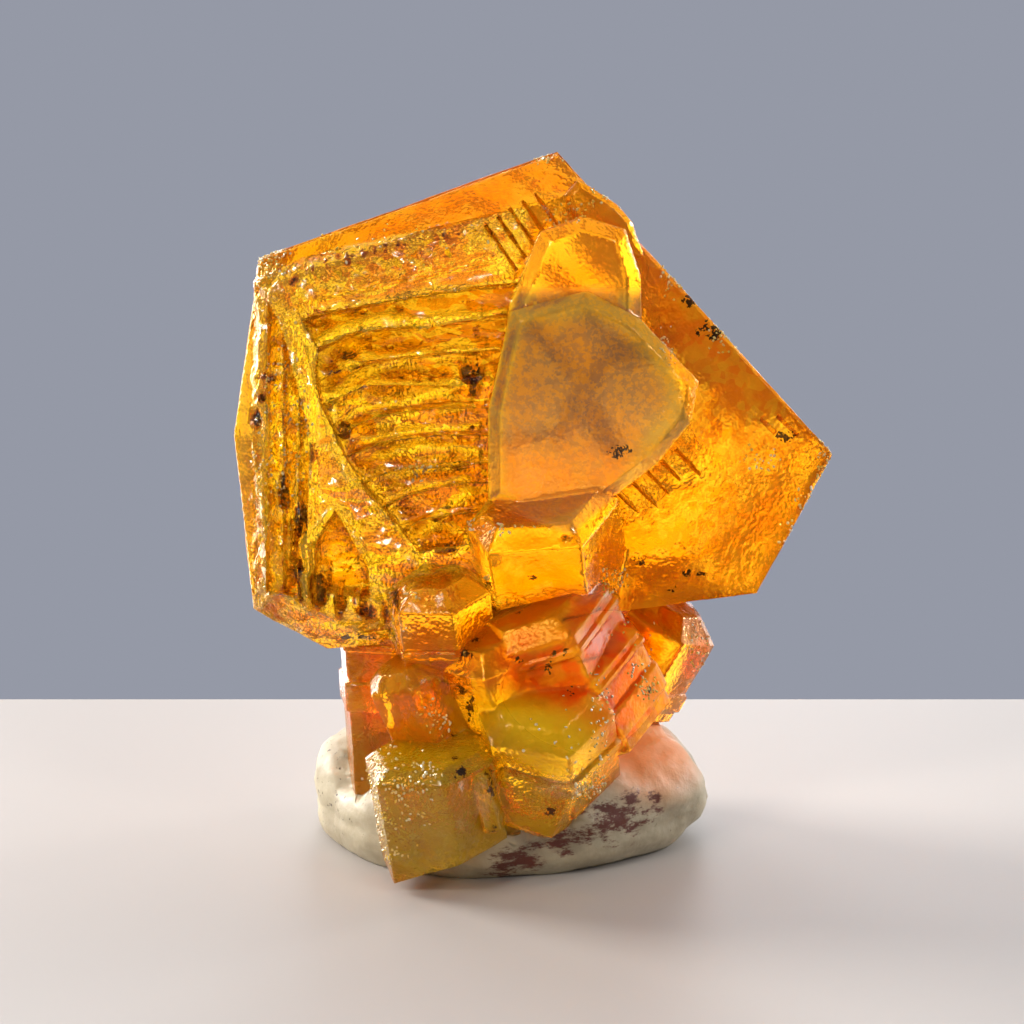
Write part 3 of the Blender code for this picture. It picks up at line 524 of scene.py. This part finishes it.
# What the front view shows on the crystals, in mm right and up of its centre. Ribs have a line, width and height; pits
# have a place, half size, depth and darkness; other spots have a place, half size and mostly a strength.
crystalMarks = {
    "ribs": [
        ([(-2.68, 6.8), (-2.06, 6.86), (-1.38, 6.98)], 0.092, 0.12),
        ([(-6.62, 5.85), (-6.15, 6.12), (-5.45, 6.31), (-4.31, 6.49), (-2.68, 6.77)], 0.092, 0.08),
        (
            [(-5.97, 4.92), (-5.66, 5.29), (-5.2, 5.57), (-4.52, 5.75), (-3.82, 5.88), (-2.83, 5.82), (-1.97, 5.88),
             (-0.98, 5.94)],
            0.185, 0.16,
        ),
        ([(-5.05, 4.49), (-4.31, 4.43), (-3.45, 4.65), (-2.52, 4.8), (-1.11, 4.89)], 0.108, 0.14),
        ([(-5.75, 3.32), (-5.29, 3.78), (-4.83, 4.15), (-4.43, 4.31)], 0.138, 0.15),
        ([(-3.94, 3.38), (-3.38, 3.38), (-2.77, 3.54), (-2.15, 3.75), (-1.48, 4.03)], 0.123, 0.15),
        ([(-5.23, 2.86), (-4.8, 3.14), (-4.18, 3.23), (-3.66, 3.42)], 0.092, 0.1),
        ([(-2.18, 3.14), (-1.75, 3.2), (-1.23, 3.26)], 0.077, 0.1),
        ([(-4.55, 2.22), (-3.91, 2.31), (-3.14, 2.52), (-2.22, 2.58), (-1.14, 2.68)], 0.092, 0.12),
        ([(-4.06, 1.69), (-3.45, 1.91), (-2.68, 2.06), (-1.26, 1.94)], 0.092, 0.12),
        ([(-3.82, 1.23), (-3.54, 1.05), (-3.14, 1.29), (-2.28, 1.38), (-1.54, 1.42)], 0.092, 0.1),
        ([(-3.69, 0.46), (-3.14, 0.68), (-2.22, 0.89), (-1.42, 0.98)], 0.077, 0.08),
        ([(-2.74, -0.65), (-2.22, -0.09), (-1.75, 0.28), (-1.35, 0.55)], 0.123, 0.14),
        (
            [(-7.69, 7.08), (-7.08, 6.37), (-6.46, 5.6), (-6.15, 4.92), (-5.91, 4.12), (-5.69, 3.38), (-5.45, 2.46),
             (-5.35, 1.75), (-4.98, 1.11), (-4.37, 0.92), (-3.91, 0.37), (-3.57, -0.25), (-2.98, -0.89),
             (-2.74, -1.54)],
            0.185, 0.1,
        ),
        ([(-6.18, 2.28), (-6.49, 1.45), (-6.58, 0.37), (-6.65, -0.62), (-6.89, -1.35)], 0.108, 0.14),
        ([(-6.34, -0.86), (-6.28, -1.78), (-6.25, -2.89)], 0.123, 0.16),
        ([(-6.22, -1.05), (-5.94, -0.37), (-5.48, 0.25), (-5.02, -0.03), (-4.71, -0.8), (-4.43, -1.48)], 0.092, 0.12),
        (
            [(-7.69, 6.52), (-7.69, 5.29), (-7.82, 3.75), (-7.51, 2.52), (-7.69, 0.98), (-7.51, -0.55), (-7.2, -2.09),
             (-7.69, -2.89)],
            0.123, 0.08,
        ),
    ],
    "pits": [
        (-6.74, 7.11, 0.154, 0.123, 0.05, 0.8), (-5.08, 7.69, 0.185, 0.185, 0.05, 0.45),
        (-5.97, 5.97, 0.431, 0.246, 0.1, 0.6), (-4.92, 6.18, 0.431, 0.154, 0.06, 0.5),
        (-3.51, 6.25, 0.154, 0.154, 0.06, 0.75), (-5.14, 4.92, 0.4, 0.185, 0.15, 0.9),
        (-4.46, 5.42, 0.215, 0.123, 0.1, 0.8), (-3.38, 5.63, 0.308, 0.092, 0.08, 0.7),
        (-5.57, 4.49, 0.277, 0.308, 0.12, 0.7), (-3.51, 5.14, 1.385, 0.185, 0.06, 0.4),
        (-2.83, 4.25, 1.292, 0.215, 0.08, 0.5), (-1.29, 4.34, 0.369, 0.338, 0.3, 1.2),
        (-1.17, 3.85, 0.185, 0.277, 0.25, 1.2), (-5.2, 2.58, 0.185, 0.277, 0.3, 1.2),
        (-7.48, 4.12, 0.246, 0.123, 0.08, 0.85), (-7.69, 3.51, 0.154, 0.154, 0.1, 0.9),
        (-7.88, 2.86, 0.185, 0.277, 0.12, 1), (-6.4, 2.8, 0.154, 0.092, 0.06, 0.8),
        (-7.02, 0.68, 0.154, 0.615, 0.15, 1), (-6.52, -0.4, 0.185, 0.738, 0.2, 1.1),
        (-6.62, -1.85, 0.246, 0.338, 0.2, 1.1), (-6.46, -2.46, 0.123, 0.431, 0.1, 0.9),
        (-5.97, -2.4, 0.246, 0.523, 0.25, 1.1), (-5.32, -2.8, 0.123, 0.431, 0.15, 1),
        (-4.49, -3.02, 0.277, 0.246, 0.15, 0.9), (-4.86, -2.71, 0.092, 0.369, 0.08, 0.6),
        (-5.63, -1.94, 0.092, 0.615, 0.08, 0.6), (-3.91, -3.08, 0.092, 0.431, 0.08, 0.7),
        (-1.2, 2.58, 0.092, 0.123, 0.05, 0.9), (-1.08, 5.6, 0.123, 0.246, 0.08, 0.9),
        (-2.06, -0.95, 0.492, 0.338, 0.25, 0.75), (1.66, -0.77, 0.185, 0.092, 0.05, 0.9),
        (-6.12, 1.75, 0.123, 0.431, 0.06, 0.5), (-6.86, 2.68, 0.369, 0.092, 0.04, 0.5),
        (-7.29, 5.14, 0.154, 0.123, 0.05, 0.6), (-3.2, 0.06, 0.431, 0.308, 0.05, 0.4),
        (-3.6, -2.71, 0.092, 0.431, 0.08, 0.9),
    ],
    "flecks": [
        (0.62, -2, 0.246, 0.123), (1.11, -1.54, 0.154, 0.092), (-0.71, -2.22, 0.277, 0.154),
        (-0.58, -1.97, 0.154, 0.092), (-1.42, -4.43, 0.4, 0.277), (-1.08, -3.94, 0.215, 0.215),
        (1.11, -4.8, 0.185, 0.369), (1.29, -4.4, 0.123, 0.185), (1.82, -5.48, 0.185, 0.215),
        (0.18, -4.55, 0.215, 0.154), (1.48, -3.94, 0.123, 0.154), (1.66, -4.31, 0.123, 0.215),
        (-0.37, -5.23, 0.369, 0.092), (-1.63, -5.51, 0.338, 0.185), (-1.29, -6.03, 0.215, 0.554),
        (-1.72, -7.57, 0.277, 0.154), (-1.54, -8.03, 0.338, 0.246), (-0.71, -8.12, 0.215, 0.4),
        (-0.58, -8.62, 0.215, 0.308), (-0.52, -9.75, 0.277, 0.154), (-0.22, -10.34, 0.8, 0.154),
        (1.17, -9.23, 0.4, 0.215), (-4.83, -3.85, 0.923, 0.123), (8.43, 2.34, 0.492, 0.277),
        (6.15, 5.6, 0.7, 0.45), (5.54, 6.52, 0.5, 0.4), (5.6, -1.91, 0.615, 0.185),
        (4.92, -2.4, 0.308, 0.185), (4.25, -5.48, 0.246, 0.246), (0.25, -3.08, 0.154, 0.092),
        (-1.75, -6.86, 0.185, 0.123), (3.94, -1.48, 0.308, 0.246), (3.32, 1.85, 0.554, 0.308),
    ],
    "cracks": [
        [(-3.57, -2.22), (-3.82, -2.83), (-3.75, -3.63), (-3.35, -4.43)],
        [(-3.35, -4.46), (-2.8, -4.86), (-2.18, -5.17), (-1.26, -5.54)],
        [(-1.38, -1.66), (-0.98, -1.82), (-0.71, -2.34)],
        [(0.55, -4.8), (1.14, -4.52), (1.63, -4.09), (1.78, -3.63)],
        [(1.54, -3.32), (2.15, -3.2), (2.74, -2.95)],
        [(2, -4.62), (2.71, -4.43), (3.48, -4.25)],
        [(4.18, 8.03), (4.09, 6.98), (3.88, 6.15)],
        [(-0.95, 6.52), (-0.8, 4.98), (-1.05, 2.83), (-0.95, 1.29)],
        [(-1.29, 0.37), (-1.42, -0.55), (-1.17, -1.35)],
    ],
    "grainy": [
        (-2.68, -9.32, 1.9, 2.4, 0.6), (-2.22, -6.15, 1.292, 1.6, 0.5),
        (1.02, -7.78, 2.154, 2.615, 0.35), (5.94, 2.22, 3.385, 4, 0.25),
        (3.02, 7.75, 2.462, 1.846, 0.3), (-3.45, -1.48, 1.538, 1.846, 0.5), (-4.68, -5.48, 0.923, 1.846, 0.3),
    ],
    "mirrors": [
        (1.94, -2.46, 0.923, 0.277, 1), (1.54, -8.46, 0.8, 0.369, 0.9), (-0.92, -8.86, 0.277, 0.862, 0.7),
        (-4.06, -9.63, 0.431, 1.538, 0.5), (-5.14, -3.63, 1.785, 0.492, 0.7),
        (-8.06, 3.45, 0.369, 5.846, 0.6), (-5.05, -5.48, 0.215, 0.492, 0.8),
        (2.71, -3.94, 0.677, 0.369, 0.35),
    ],
    "glints": [
        (-7.45, 7.75, 0.462, 0.492, 1), (1.11, 10.86, 0.369, 0.123, 0.7), (2.71, 9.75, 0.492, 0.369, 0.4),
        (9.54, 1.29, 0.246, 0.738, 1), (9.05, 0.22, 0.246, 0.492, 1), (8.55, -0.71, 0.308, 0.554, 0.5),
        (-0.4, -0.52, 0.923, 0.185, 0.6), (-1.23, -0.37, 0.185, 0.185, 0.9), (-0.74, -2, 0.123, 0.092, 0.8),
        (3.08, -2.15, 0.431, 0.369, 0.6), (-3.05, -2.62, 0.215, 0.185, 0.6),
        (-3.29, -3.57, 0.154, 0.154, 0.6), (4.18, -5.42, 0.277, 0.431, 0.9), (3.94, -4.8, 0.369, 0.246, 0.5),
        (-2.68, -8.09, 0.338, 0.369, 0.8), (-3.51, -8.86, 0.923, 1.385, 0.4),
        (-3.54, -10.49, 0.369, 0.246, 0.7), (2.4, -8.4, 0.615, 0.369, 0.8), (-2.34, -6.34, 0.492, 0.492, 0.5),
        (-8.12, 0.31, 0.154, 0.185, 0.6), (-7.88, 1.85, 0.215, 0.369, 0.6), (4.92, 6.98, 0.308, 0.369, 0.5),
        (6.46, 5.29, 0.369, 0.431, 0.5), (1.63, 9.23, 0.8, 0.246, 0.7), (7.63, 1.66, 0.554, 0.308, 0.5),
        (-2.89, 1.23, 0.677, 0.185, 0.5), (-7.14, 2.52, 0.862, 2.769, 0.15),
        (-3.29, 8.22, 2.154, 0.677, 0.06), (4.8, 5.05, 0.246, 0.615, 0.6), (1.48, -7.02, 0.923, 1.231, 0.1),
        (2.71, -6.4, 0.369, 1.231, 0.4), (3.94, -3.94, 0.923, 0.615, 0.08), (5.78, -3.94, 0.369, 0.923, 0.3),
    ],
}


# mm across, up and out of the large crystal's face
def onFace(points):
    turn = np.array(Matrix.Rotation(math.radians(crystalShape["facePitch"]), 3, "X"))
    return (points - np.array(crystalShape["faceAt"])) @ turn


# how far inside a convex outline, given clockwise, each place is: mm, negative outside
def insideOf(outline, places):
    found = np.full(len(places), 1e9)
    for (ax, ay), (bx, by) in zip(outline, outline[1:] + outline[:1]):
        across = ((places[:, 0] - ax) * (by - ay) - (places[:, 1] - ay) * (bx - ax)) / math.hypot(bx - ax, by - ay)
        found = np.minimum(found, across)
    return found


def insideZone(points, centre, halfSize, soft):
    reach = np.linalg.norm((points - np.array(centre)) / np.array(halfSize), axis=1)
    return smooth((1 - reach) / soft)


def crystalSpacing(points):
    shape = crystalShape
    face = onFace(points)
    found = np.full(len(points), shape["coarse"])
    found[points[:, 1] < -0.6] = shape["fine"]
    front = (face[:, 2] > -3.4) & (points[:, 2] > 6.5)
    found[front] = shape["faceFine"]
    found[front & (face[:, 0] < 0.2)] = shape["finest"]
    seen = frontView(points)
    near = np.min([distanceTo(line, seen) for line in crystalMarks["cracks"]], axis=0)
    found[(near < 0.16) & (points[:, 1] < -1)] = shape["crackFine"]
    return found


# heights in mm to add along each point's normal, and the attributes that the material reads
def crystalRelief(points, normals):
    shape, border = crystalShape, crystalShape["borders"]
    face, seen, ahead = onFace(points), frontView(points), viewAxes()[1]
    turned = past(-(normals @ ahead), 0.0, 0.3) * before(points[:, 1], *border["front"])  # faces the front
    front = past(face[:, 2], *border["faceBack"]) * past(points[:, 2], *border["faceFoot"])
    plate = past(insideOf(shape["plate"], face), *border["plate"]) * past(face[:, 2], *border["plate"])
    rimX, rimY = zip(*shape["rimLine"])
    aboveRim = seen[:, 1] - np.interp(seen[:, 0], rimX, rimY)
    left = before(face[:, 0], *border["leftHalf"])
    hopper = front * (1 - plate) * left * (1 - past(aboveRim, *border["rim"]))
    hopper = hopper * past(seen[:, 0], *border["leftEdge"]) * before(face[:, 2], *border["hopperTop"])
    band = hopper * past(aboveRim, *border["band"])
    sector = hopper * before(seen[:, 0], *border["sector"])
    wander = 0.07 * np.stack([lumps(points, 0.5, 2, 3.0), lumps(points, 0.5, 2, 9.0)], axis=1)
    places = seen + wander
    soft = lumps(points, 0.9, 3, 1.0)
    grainy = np.max([spot[4] * onSpot(spot, seen, 0.6) for spot in crystalMarks["grainy"]], axis=0) * turned

    def grown(name, kind=ridges, places=points, levels=None):
        height, size, octaves, start = shape["growth"][name]
        found = kind(places, size, octaves, start)
        return height * (found if levels is None else np.round(levels * found))

    heights = (1 - hopper) * (1 - plate) * grown("steps", lumps, points, 2.4)
    heights += (1 - plate) * (1 + 5 * hopper) * grown("skin", lumps)
    heights += plate * grown("plateSteps", lumps, points, 3)
    heights += hopper * (1 - sector) * grown("blades", ridges, face * (0.45, 1.0, 0.6))
    heights += (band + sector) * grown("sugar")
    heights += grainy * (1 - hopper) * (1 - plate) * grown("grains")
    heights += front * (1 - left) * (1 - plate) * grown("rightFace", ridges, face * (1.0, 0.6, 1.0))
    # painted highlight: the material paints the rib crests yellow
    crest = np.zeros(len(points))
    for line, width, height in crystalMarks["ribs"]:
        ridge = np.exp(-((distanceTo(line, places) / width) ** 2)) * turned
        heights += shape["ribHeight"] * height * ridge * np.clip(0.8 + 0.5 * soft, 0.3, 1.3)
        crest = np.maximum(crest, ridge)
    # painted shade: the material darkens the notches under the rim and the pits
    dark = np.zeros(len(points))
    notches = shape["notches"]
    for along in np.linspace(notches["first"], notches["last"], notches["count"]):
        x = along + 0.08 * math.sin(along * 17)
        y = np.interp(x, rimX, rimY) - notches["below"] - 0.05 * math.sin(along * 11)
        dark = np.maximum(dark, notches["darkness"] * onSpot((x, y, *notches["halfSize"]), seen) * turned)
    for spot in crystalMarks["pits"]:
        inside = onSpot(spot, places) * turned
        heights -= spot[4] * inside
        dark = np.maximum(dark, spot[5] * inside)
    flecks = np.max([onSpot(spot, places, 0.6) for spot in crystalMarks["flecks"]], axis=0) * turned
    near = np.min([distanceTo(line, places) for line in crystalMarks["cracks"]], axis=0)
    crack = np.exp(-((near / shape["crackWidth"]) ** 2)) * turned * np.clip(0.55 + 0.9 * soft, 0, 0.9)
    mirror = np.max([spot[4] * onSpot(spot, places, 0.5) for spot in crystalMarks["mirrors"]], axis=0) * turned
    mirror = np.maximum(mirror, plate * (0.2 + 0.35 * before(face[:, 1], *border["mirror"]))) * (1 - hopper)
    glint = np.max([spot[4] * onSpot(spot, seen, 0.5) for spot in crystalMarks["glints"]], axis=0)
    glint = glint * before(normals @ ahead, 0.6, 0.3) * before(points[:, 1], *border["glints"])
    # painted reflection: the material paints the plate's lower part muted brown and grey-mauve where it mirrors the
    # room
    reflectionVeil = plate * before(face[:, 1], *border["reflectionTop"]) * (0.5 + 0.5 * past(face[:, 1], *border["reflectionFoot"]))
    ember, haze = insideZone(points, *shape["emberZone"]), insideZone(points, *shape["hazeZone"])
    return heights, {
        "hopper": hopper,
        "ribs": hopper * (1 - band) * (1 - sector),
        "sugar": np.maximum(np.maximum(band, sector), grainy * (1 - plate)) * (1 - 0.7 * ember),
        "crest": crest * np.clip(0.9 + 0.6 * soft, 0.3, 1),
        "dark": dark,
        "flecks": flecks,
        "crack": crack,
        "mirror": mirror,
        "plate": reflectionVeil,
        "clouded": np.maximum(np.maximum(reflectionVeil, 0.8 * ember), 0.75 * haze),
        "glint": glint,
        "yellow": insideZone(points, *shape["keyLightYellowZone"]),
        "ember": ember,
        "olive": insideZone(points, *shape["oliveZone"]),
    }


def dressCrystals():
    shape = mergedCopy("crystal_cluster")
    refine(shape, crystalSpacing, crystalShape["coarse"])
    say(f"crystals refined to {len(shape.verts)} points")
    bmesh.ops.smooth_vert(shape, verts=shape.verts[:], factor=0.06, use_axis_x=True, use_axis_y=True, use_axis_z=True)
    points, normals, ends = pointsOf(shape), normalsOf(shape), endsOf(shape)
    heights, attributes = crystalRelief(points, normals)
    moveAlong(shape, normals, heights)
    say("crystals' relief made")
    points, normals = pointsOf(shape), normalsOf(shape)
    # the material paints low ground as shade and raised ground as highlight
    attributes["level"] = np.clip(0.5 + 0.5 * standing(points, normals, ends, 40) / 0.1, 0, 1)
    # the material darkens closed-in points as painted shade
    attributes["crevice"] = crevices(shape, points, normals, 1.1, 12)
    return finishPiece("mimetite_crystals", shape, mimetite(), attributes, 24, "crystal_cluster")


crystals = dressCrystals()


# Crystallites: smooth beads of new growth along the edges and in the dirty corners; their pale colour is a painted
# glint, beside the real glitter of their faces
crystallites = {
    "perSquareMillimetre": 60.0,
    "radius": 0.055,  # mm
    "smallest": (0.4, 0.4, 0.4),  # of the radius
    "largest": (1.5, 1.0, 1.0),
    "turn": (6.28, 6.28, 6.28),  # radians
    "seed": 11,
    "glintWhite": "#FFF4C8",
    "yellow": "#FFD850",
    "tints": {"Scale": 1.5, "Detail": 4.0, "Roughness": 0.6},
    "ior": 2.1,
    "roughness": 0.06,
    "transmission": 0.25,  # mostly diffuse, so the pale colour shows as a painted glint where lamps light it
    "absorb": (0.992, 0.86, 0.0, 1.0),
    "density": 200,  # per metre
}


def paleGlintMimetite():
    look = crystallites
    made, tree, shader, place = newMaterial("paleGlintMimetite")
    tint = addNode(tree, "ShaderNodeTexNoise", {"Vector": place, **look["tints"]})
    tint = addNode(tree, "ShaderNodeMapRange", {"Value": tint, **rise(0.4, 0.6)})
    setUp(tree, shader, {
        "Base Color": layered(tree, look, "glintWhite", [(tint, 1, "yellow")]),
        "IOR": look["ior"],
        "Roughness": look["roughness"],
        "Transmission Weight": look["transmission"],
    })
    volume = addNode(tree, "ShaderNodeVolumeAbsorption", {"Color": look["absorb"], "Density": look["density"]})
    setUp(tree, tree.nodes["Material Output"], {"Volume": volume})
    return made


def growCrystallites(host):
    tree = bpy.data.node_groups.new("crystallites", "GeometryNodeTree")
    sockets = tree.interface
    sockets.new_socket("Surface", in_out="INPUT", socket_type="NodeSocketGeometry")
    values = {
        sockets.new_socket("Per square metre", in_out="INPUT", socket_type="NodeSocketFloat"):
            crystallites["perSquareMillimetre"] / mm ** 2,
        sockets.new_socket("Radius", in_out="INPUT", socket_type="NodeSocketFloat"): crystallites["radius"] * mm,
        sockets.new_socket("Seed", in_out="INPUT", socket_type="NodeSocketInt"): crystallites["seed"],
    }
    sockets.new_socket("Crystallites", in_out="OUTPUT", socket_type="NodeSocketGeometry")
    add = partial(addNode, tree)
    given = add("NodeGroupInput").node.outputs
    share = add("GeometryNodeInputNamedAttribute", {"data_type": "FLOAT", "Name": "glint"}, "Attribute")
    density = add("ShaderNodeMath", {"operation": "MULTIPLY", 0: share, 1: given["Per square metre"]})
    scattered = {"Mesh": given["Surface"], "Density": density, "Seed": given["Seed"]}
    spots = add("GeometryNodeDistributePointsOnFaces", scattered, "Points")
    grain = add("GeometryNodeMeshIcoSphere", {"Subdivisions": 1, "Radius": given["Radius"]}, "Mesh")
    turns = {1: crystallites["turn"], "Seed": given["Seed"]}
    turn = add("FunctionNodeRandomValue", {"data_type": "FLOAT_VECTOR", **turns})
    sizes = {0: crystallites["smallest"], 1: crystallites["largest"]}
    size = add("FunctionNodeRandomValue", {"data_type": "FLOAT_VECTOR", **sizes})
    placing = {"Points": spots, "Instance": grain, "Rotation": turn, "Scale": size}
    real = add("GeometryNodeRealizeInstances", {0: add("GeometryNodeInstanceOnPoints", placing)})
    done = add("GeometryNodeSetMaterial", {"Material": paleGlintMimetite(), "Geometry": real})
    add("NodeGroupOutput", {0: done})
    stand = bpy.data.objects.new("crystallite_host", host.data.copy())
    bpy.context.scene.collection.objects.link(stand)
    modifier = stand.modifiers.new("crystallites", "NODES")
    modifier.node_group = tree
    for socket, value in values.items():
        modifier[socket.identifier] = value
    graph = bpy.context.evaluated_depsgraph_get()
    mesh = bpy.data.meshes.new_from_object(stand.evaluated_get(graph), depsgraph=graph)
    bpy.data.objects.remove(stand)
    mesh.name = "mimetite_crystallites"
    piece = bpy.data.objects.new("mimetite_crystallites", mesh)
    bpy.context.scene.collection.objects.link(piece)
    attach(piece, "root")
    say(f"crystallites: {len(mesh.polygons)} faces")


growCrystallites(crystals)


# Mineral tack: pale polybutene putty, pressed with the fingers. It is smooth and a little waxy, and it has picked up
# crumbs of rock and rust-coloured dirt where the specimen was pushed in.
tackLook = {
    "pale": "#BEB499",
    "dull": "#A0947A",
    "speckAndShade": "#3A2A1C",
    "stainAndShade": "#5E2014",
    "glow": "#F0A060",
    "roughness": (0.38, 0.6),
    # per mm
    "clouds": {"Scale": 0.7, "Detail": 4.0, "Roughness": 0.6},
    "crumbs": {"Scale": 4.2, "Detail": 4.0, "Roughness": 0.7},  # bits of rock 0.1 to 0.2 mm across
    "smears": {"Scale": 1.0, "Detail": 4.0, "Roughness": 0.75},
    "smearing": {"Rotation": (0, 0.3, 0), "Scale": (1.4, 2, 3.6)},
    "dents": {"Scale": 2.6, "Detail": 5.0, "Roughness": 0.6},
    "wax": {"Scale": 1.2, "Detail": 3.0, "Roughness": 0.6},
    "bump": 0.06,  # mm
    "scatter": {"Subsurface Weight": 0.15, "Subsurface Radius": (1.0, 0.7, 0.5), "Subsurface Scale": 0.6 * mm},
    # mm: centre and half size of each
    "stains": [
        ((2.4, -3.4, 1.7), (1.7, 2.4, 0.8)),
        ((-0.6, -4.6, 0.5), (1.1, 1.5, 0.6)),
        ((0.9, -4.4, 1.2), (1.0, 1.5, 0.5)),
    ],
    "specked": ((-6.0, 0.0, 1.8), (1.3, 4.0, 2.0)),
    "glowing": ((3.9, -1.6, 3.2), (1.7, 2.6, 1.2)),  # light that came through the crystals
    "fine": 0.2,  # mm between points
    "gap": 0.3,  # mm between the crystals and their seat in the CAD model
    "seatSoft": 0.2,  # mm: how far past that gap the putty still follows
    "seatDepth": 0.04,  # mm that it reaches into the crystals
    "press": 0.13,  # mm: depth of the finger marks
    "ripple": 0.04,  # mm
}


def mineralTack():
    look = tackLook
    made, tree, shader, place = newMaterial("polybutenePutty")
    add = partial(addNode, tree)
    cloud = add("ShaderNodeTexNoise", {"Vector": place, **look["clouds"]})
    cloud = add("ShaderNodeMapRange", {"Value": cloud, **rise(0.35, 0.7)})
    # crumbs are few on the right lump and many on the left one
    crumbs = add("ShaderNodeTexNoise", {"Vector": place, **look["crumbs"]})
    many = add("ShaderNodeMath", {"operation": "MULTIPLY", 0: zone(tree, place, *look["specked"], 0.4), 1: 0.06})
    crumbs = add("ShaderNodeMath", {"operation": "ADD", 0: crumbs, 1: many})
    crumbs = add("ShaderNodeMapRange", {"Value": crumbs, **rise(0.68, 0.73)})
    smears = add("ShaderNodeMapping", {"Vector": place, **look["smearing"]})
    smears = add("ShaderNodeTexNoise", {"Vector": smears, **look["smears"]})
    smears = add("ShaderNodeMath", {"operation": "SUBTRACT", 0: smears, 1: 0.5})
    smears = add("ShaderNodeMath", {"operation": "MULTIPLY", 0: smears, 1: 3.2})
    layers = [(cloud, 1, "dull"), (zone(tree, place, *look["glowing"], 0.6), 1, "glow"), (crumbs, 1, "speckAndShade")]
    for centre, halfSize in look["stains"]:
        stainAndShade = zone(tree, place, centre, halfSize, 0.7)
        stainAndShade = add("ShaderNodeMath", {"operation": "ADD", 0: stainAndShade, 1: smears})
        layers.append((add("ShaderNodeMapRange", {"Value": stainAndShade, **rise(0.6, 1.1, 0.0, 0.95)}), 1, "stainAndShade"))
    # painted shade: the putty is darkened in its crevices
    creviceShade = add("ShaderNodeAttribute", {"attribute_name": "crevice"}, "Fac")
    layers.append((add("ShaderNodeMapRange", {"Value": creviceShade, **rise(0.5, 0.9, 0.0, 0.7)}), 1, "speckAndShade"))
    dents = add("ShaderNodeTexNoise", {"Vector": place, **look["dents"]})
    waxy = add("ShaderNodeTexNoise", {"Vector": place, **look["wax"]})
    setUp(tree, shader, {
        "Base Color": layered(tree, look, "pale", layers),
        "Normal": add("ShaderNodeBump", {"Strength": 0.5, "Distance": look["bump"] * mm, "Height": dents}),
        "Roughness": add("ShaderNodeMapRange", {"Value": waxy, **rise(0.3, 0.7, *look["roughness"])}),
        **look["scatter"],
    })
    return made


def dressTack():
    look = tackLook
    shape = mergedCopy("putty_base")
    refine(shape, lambda points: np.full(len(points), look["fine"]), 2 * look["fine"])
    # the putty keeps its shape beside the crystals and closes up to touch them
    crystalShell = mergedCopy("crystal_cluster")
    seated = BVHTree.FromBMesh(crystalShell)
    crystalShell.free()
    found = {vert: seated.find_nearest(vert.co) for vert in shape.verts}
    clear = {vert: nearest[3] / mm for vert, nearest in found.items()}
    for vert, nearest in found.items():
        share = float(smooth((look["gap"] + look["seatSoft"] - clear[vert]) / look["seatSoft"]))
        vert.co = vert.co.lerp(nearest[0] - nearest[1] * look["seatDepth"] * mm, share)
    loose = [vert for vert in shape.verts if clear[vert] > look["gap"] + look["seatSoft"]]
    for turn in range(3):
        bmesh.ops.smooth_vert(shape, verts=loose, factor=0.3, use_axis_x=True, use_axis_y=True, use_axis_z=True)
    points, normals = pointsOf(shape), normalsOf(shape)
    heights = look["press"] * (lumps(points, 1.7, 2, 4.0) + 0.3) + look["ripple"] * lumps(points, 0.6, 3, 6.0)
    heights *= smooth((np.array([clear[vert] for vert in shape.verts]) - look["gap"]) / 0.5)
    heights *= smooth((points[:, 2] - 0.05) / 0.5)  # the underside stays flat
    moveAlong(shape, normals, heights)
    points, normals = pointsOf(shape), normalsOf(shape)
    # the material darkens closed-in points as painted shade
    attributes = {"crevice": crevices(shape, points, normals, 0.8, 10)}
    finishPiece("mineral_tack", shape, mineralTack(), attributes, 40, "putty_base")


dressTack()

bpy.context.scene.view_settings.view_transform = "Standard"

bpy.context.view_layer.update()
say("sizes written")
